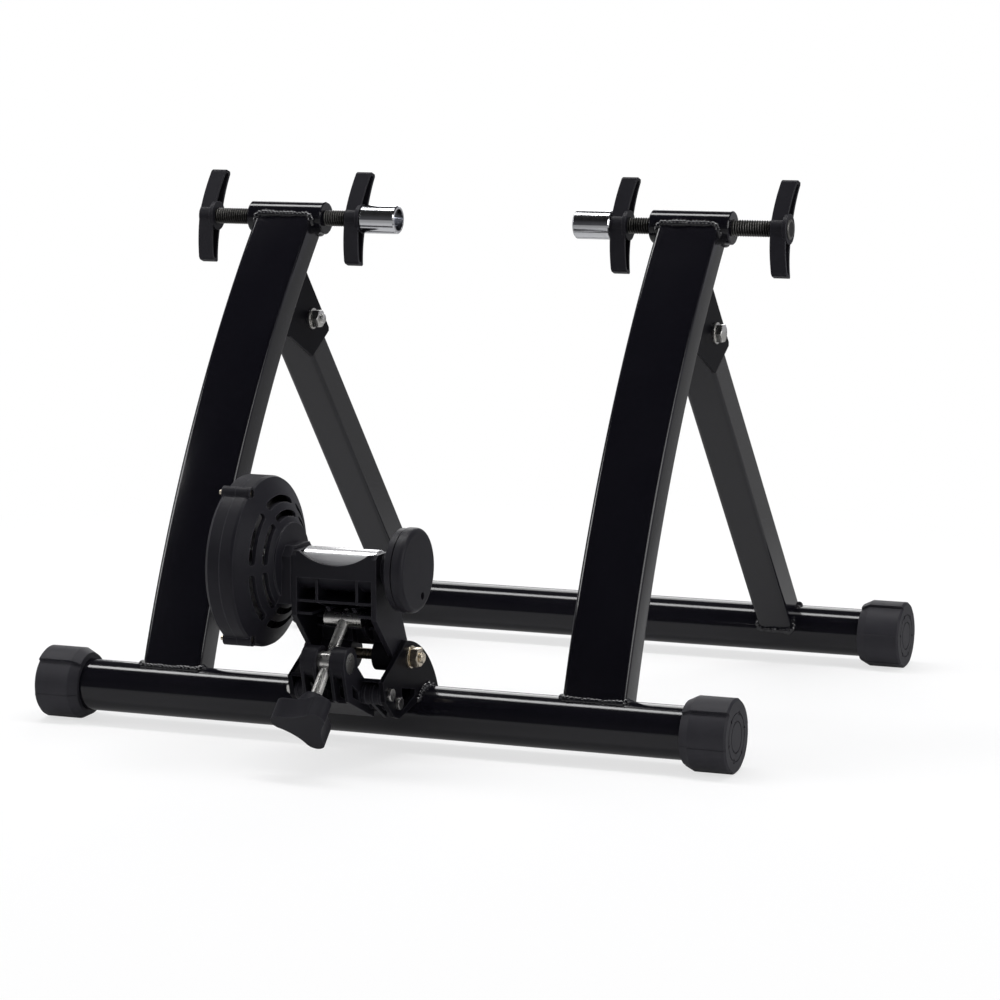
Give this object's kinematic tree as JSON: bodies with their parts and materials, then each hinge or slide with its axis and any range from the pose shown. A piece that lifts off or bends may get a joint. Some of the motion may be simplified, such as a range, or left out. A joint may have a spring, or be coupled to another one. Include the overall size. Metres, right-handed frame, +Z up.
{
  "type": "bicycle turbo trainer stand",
  "caption": "Folding wheel-on bicycle trainer with curved front legs, axle clamps on winged spindles and a tilting roller unit with flywheel and vented magnetic brake.",
  "frame": {"origin": "On the floor under the middle of the bounding box", "axes": "X to the trainer's right along the base tubes, Y to the rear, Z up"},
  "size_m": [0.5436, 0.5972, 0.4026],
  "materials": {
    "black_paint": "gloss powder coat",
    "black_plastic": "fine satin moulding",
    "black_rubber": "matte rubber",
    "zinc": "bright zinc plated fasteners",
    "chrome": "polished plating",
    "roller_steel": "satin ground steel",
    "thread_steel": "dark oiled thread",
    "rotor_alloy": "turned",
    "magnet": "plated magnets on a steel plate"
  },
  "bodies": {
    "base_frame": {"front_crossbar": "black_paint", "front_leg_left": "black_paint", "front_leg_right": "black_paint", "clamp_tube_left": "black_paint", "clamp_tube_right": "black_paint", "fold_bracket_left": "black_paint", "fold_bracket_right": "black_paint", "fold_bolts": "zinc", "fold_nuts": "zinc", "fold_washers": "zinc", "unit_bracket": "black_paint", "cradle": "black_plastic", "cradle_screws": "zinc", "cradle_nuts": "zinc", "pivot_bolt": "zinc", "pivot_nut": "zinc", "pivot_washers": "zinc"},
    "rear_frame": {"rear_crossbar": "black_paint", "rear_leg_left": "black_paint", "rear_leg_right": "black_paint", "fold_bushes": "thread_steel"},
    "foot_fl": {"front_foot_left": "black_rubber"},
    "foot_fr": {"front_foot_right": "black_rubber"},
    "foot_rl": {"rear_foot_left": "black_rubber"},
    "foot_rr": {"rear_foot_right": "black_rubber"},
    "cup_left": {"axle_cup_left": "chrome"},
    "cup_right": {"axle_cup_right": "chrome"},
    "screw_left": {"spindle_left": "thread_steel", "outer_handle_left": "black_plastic"},
    "screw_right": {"spindle_right": "thread_steel", "outer_handle_right": "black_plastic", "handle_nut": "thread_steel"},
    "lock_left": {"lock_handle_left": "black_plastic"},
    "lock_right": {"lock_handle_right": "black_plastic"},
    "roller_unit": {"roller_carrier": "black_plastic", "roller_bearings": "zinc", "brake_inner_cover": "black_plastic", "brake_outer_cover": "black_plastic", "cover_screws": "zinc", "magnet_plate": "magnet", "magnets": "magnet"},
    "rotor": {"roller": "roller_steel", "roller_shaft": "roller_steel", "rotor_disc": "rotor_alloy", "rotor_nut": "zinc", "flywheel": "black_paint"},
    "trunnion": {"trunnion_barrel": "zinc"},
    "screw_nut": {"upper_barrel": "zinc"},
    "tensioner": {"tension_screw": "zinc", "tension_knob": "black_plastic"}
  },
  "joints": [
    {"name": "fold", "type": "hinge", "parent": "base_frame", "child": "rear_frame", "pos_m": [0, 0.04528, 0.2875], "axis": [1, 0, 0], "range_deg": [-66, 0]},
    {"name": "foot_front_left_turn", "type": "hinge", "parent": "base_frame", "child": "foot_fl", "pos_m": [-0.25, -0.15822, 0.026], "axis": [1, 0, 0], "range_deg": [-180, 180]},
    {"name": "foot_front_right_turn", "type": "hinge", "parent": "base_frame", "child": "foot_fr", "pos_m": [0.25, -0.15822, 0.026], "axis": [1, 0, 0], "range_deg": [-180, 180]},
    {"name": "foot_rear_left_turn", "type": "hinge", "parent": "rear_frame", "child": "foot_rl", "pos_m": [-0.25, 0.27178, 0.026], "axis": [1, 0, 0], "range_deg": [-180, 180]},
    {"name": "foot_rear_right_turn", "type": "hinge", "parent": "rear_frame", "child": "foot_rr", "pos_m": [0.25, 0.27178, 0.026], "axis": [1, 0, 0], "range_deg": [-180, 180]},
    {"name": "cup_left_slide", "type": "slide", "parent": "base_frame", "child": "cup_left", "axis": [1, 0, 0], "range_m": [-0.0136, 0.0214]},
    {"name": "cup_right_slide", "type": "slide", "parent": "base_frame", "child": "cup_right", "axis": [-1, 0, 0], "range_m": [-0.0136, 0.0214]},
    {"name": "spindle_left_turn", "type": "hinge", "parent": "cup_left", "child": "screw_left", "pos_m": [-0.17, 0.04418, 0.3666], "axis": [1, 0, 0], "range_deg": [-2520, 3960]},
    {"name": "spindle_right_turn", "type": "hinge", "parent": "cup_right", "child": "screw_right", "pos_m": [0.17, 0.04418, 0.3666], "axis": [-1, 0, 0], "range_deg": [-2520, 3960]},
    {"name": "lock_left_turn", "type": "hinge", "parent": "cup_left", "child": "lock_left", "pos_m": [-0.11, 0.04418, 0.3666], "axis": [1, 0, 0], "range_deg": [-90, 90]},
    {"name": "lock_right_turn", "type": "hinge", "parent": "cup_right", "child": "lock_right", "pos_m": [0.11, 0.04418, 0.3666], "axis": [-1, 0, 0], "range_deg": [-90, 90]},
    {"name": "roller_tilt", "type": "hinge", "parent": "base_frame", "child": "roller_unit", "pos_m": [0, -0.18682, 0.071], "axis": [1, 0, 0], "range_deg": [-7, 12]},
    {"name": "roller_spin", "type": "hinge", "parent": "roller_unit", "child": "rotor", "pos_m": [0, -0.21722, 0.1386], "axis": [1, 0, 0], "continuous": true},
    {"name": "trunnion_swing", "type": "hinge", "parent": "base_frame", "child": "trunnion", "pos_m": [0, -0.24422, 0.0745], "axis": [1, 0, 0], "range_deg": [-0.6, 0.6]},
    {"name": "screw_nut_slide", "type": "slide", "parent": "trunnion", "child": "screw_nut", "axis": [0, 0.7263, 0.6874], "range_m": [-0.009, 0.0055]},
    {"name": "knob_turn", "type": "hinge", "parent": "trunnion", "child": "tensioner", "pos_m": [0, -0.24422, 0.0745], "axis": [0, 0.7263, 0.6874], "range_deg": [-1560, 2580]}
  ],
  "couplings": [
    {"joint": "spindle_left_turn", "follows": "cup_left_slide", "rad_per_m": 3215.6},
    {"joint": "spindle_right_turn", "follows": "cup_right_slide", "rad_per_m": 3215.6},
    {"joint": "trunnion_swing", "follows": "roller_tilt", "ratio": -0.04},
    {"joint": "screw_nut_slide", "follows": "roller_tilt", "m_per_rad": -0.0418},
    {"joint": "knob_turn", "follows": "roller_tilt", "ratio": 210}
  ]
}
